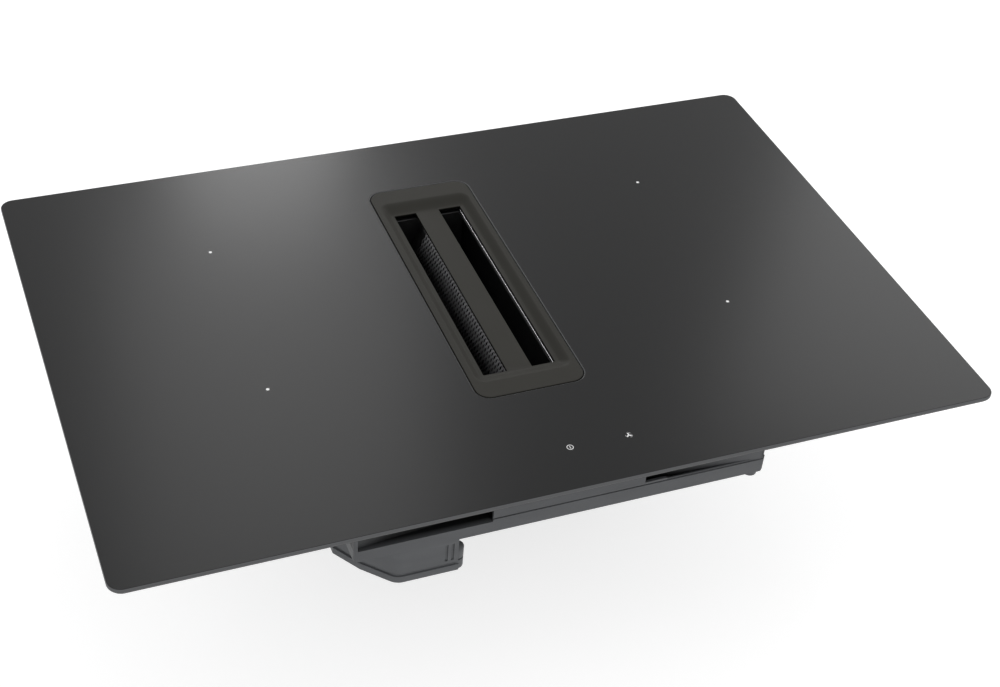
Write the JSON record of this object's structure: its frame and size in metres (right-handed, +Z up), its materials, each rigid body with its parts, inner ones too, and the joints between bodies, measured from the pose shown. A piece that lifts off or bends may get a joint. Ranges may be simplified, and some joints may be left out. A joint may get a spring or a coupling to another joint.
{
  "type": "downdraft induction cooktop",
  "caption": "Black glass induction cooktop with a central downdraft inlet, lift-out grease filter and a flat fan housing below",
  "frame": {"origin": "centre of the worktop plane, the face that the rim seal rests on", "axes": "+X to the user's right, +Y to the back, +Z up out of the worktop"},
  "size_m": [0.78, 0.52, 0.204],
  "materials": {
    "black_glass": "satin black glass ceramic, ground edge",
    "seal_foam": "closed-cell foam tape",
    "black_plastic": "fine-grained black moulding",
    "grille_paint": "warm dark grey matte paint on a casting",
    "filter_steel": "stainless steel sheet",
    "filter_mesh": "expanded stainless steel mesh",
    "tray_sheet": "galvanised sheet, fine spangle",
    "aluminium_sheet": "plain aluminium sheet",
    "insulation": "pressed mica mat",
    "copper_litz": "enamelled copper litz",
    "white_plastic": "plain white moulding",
    "ferrite": "pressed ferrite",
    "circuit_board": "green solder mask",
    "capacitor_sleeve": "blue film sleeve",
    "grey_plastic": "grained mid-grey glass-filled moulding",
    "housing_plastic": "grained dark grey moulding",
    "motor_metal": "cast and turned motor case",
    "steel": "bright zinc-plated steel",
    "spring_steel": "spring steel strip",
    "pad_spring": "plated touch springs"
  },
  "bodies": {
    "root": {"glass_top": "black_glass", "worktop_seal": "seal_foam", "inlet_frame": "black_plastic", "inlet_duct": "black_plastic", "coil_tray": "tray_sheet", "insulation_left": "insulation", "insulation_right": "insulation", "coil_shelf_left": "aluminium_sheet", "coil_shelf_right": "aluminium_sheet", "coil_front_left": "copper_litz", "coil_front_right": "copper_litz", "coil_rear_left": "copper_litz", "coil_rear_right": "copper_litz", "carrier_front_left": "white_plastic", "carrier_front_right": "white_plastic", "carrier_rear_left": "white_plastic", "carrier_rear_right": "white_plastic", "ferrite_bars": "ferrite", "coil_sensors": "white_plastic", "shelf_posts": "steel", "power_board_left": "circuit_board", "power_board_right": "circuit_board", "heat_sink_left": "aluminium_sheet", "heat_sink_right": "aluminium_sheet", "capacitors": "capacitor_sleeve", "cooling_fan_left": "black_plastic", "cooling_fan_right": "black_plastic", "touch_housing": "grey_plastic", "touch_board": "circuit_board", "touch_pads": "pad_spring", "base_pan": "grey_plastic", "connection_box": "grey_plastic", "connection_lid": "grey_plastic", "terminal_block": "white_plastic", "cable_gland": "black_plastic", "control_board": "circuit_board", "chamber_shell": "housing_plastic", "inlet_ring": "black_plastic", "volute_shell": "housing_plastic", "fan_motor": "motor_metal", "motor_bushes": "seal_foam", "outlet_diffuser": "housing_plastic", "outlet_spigot": "black_plastic", "flap_pins": "steel", "worktop_springs": "spring_steel", "spring_screws": "steel", "housing_screws": "steel", "pan_screws": "steel"},
    "drip": {"drip_tray": "filter_steel"},
    "filter": {"filter_frame": "filter_steel", "filter_mesh_left": "filter_mesh", "filter_mesh_right": "filter_mesh", "filter_grip": "black_plastic"},
    "grille": {"inlet_grille": "grille_paint"},
    "wheel": {"fan_wheel": "black_plastic", "fan_shaft": "steel"},
    "rotor_left": {"cooling_rotor_left": "black_plastic"},
    "rotor_right": {"cooling_rotor_right": "black_plastic"},
    "flap_upper": {"flap_upper": "aluminium_sheet"},
    "flap_lower": {"flap_lower": "aluminium_sheet"}
  },
  "joints": [
    {"name": "drip_lift", "type": "slide", "parent": "root", "child": "drip", "axis": [0, 0, 1], "range_m": [0, 0.11]},
    {"name": "filter_lift", "type": "slide", "parent": "drip", "child": "filter", "axis": [0, 0, 1], "range_m": [0, 0.1]},
    {"name": "grille_lift", "type": "slide", "parent": "filter", "child": "grille", "axis": [0, 0, 1], "range_m": [0, 0.06]},
    {"name": "wheel_spin", "type": "hinge", "parent": "root", "child": "wheel", "pos_m": [0, 0.05, -0.15], "axis": [0, 0, -1], "continuous": true},
    {"name": "rotor_left_spin", "type": "hinge", "parent": "root", "child": "rotor_left", "pos_m": [-0.3, 0.168, -0.032], "axis": [0, 0, 1], "continuous": true},
    {"name": "rotor_right_spin", "type": "hinge", "parent": "root", "child": "rotor_right", "pos_m": [0.3, 0.168, -0.032], "axis": [0, 0, 1], "continuous": true},
    {"name": "flap_upper_hinge", "type": "hinge", "parent": "root", "child": "flap_upper", "pos_m": [-0.076, 0.2025, -0.112], "axis": [1, 0, 0], "range_deg": [0, 75]},
    {"name": "flap_lower_hinge", "type": "hinge", "parent": "root", "child": "flap_lower", "pos_m": [-0.076, 0.2025, -0.153], "axis": [1, 0, 0], "range_deg": [0, 75]}
  ]
}
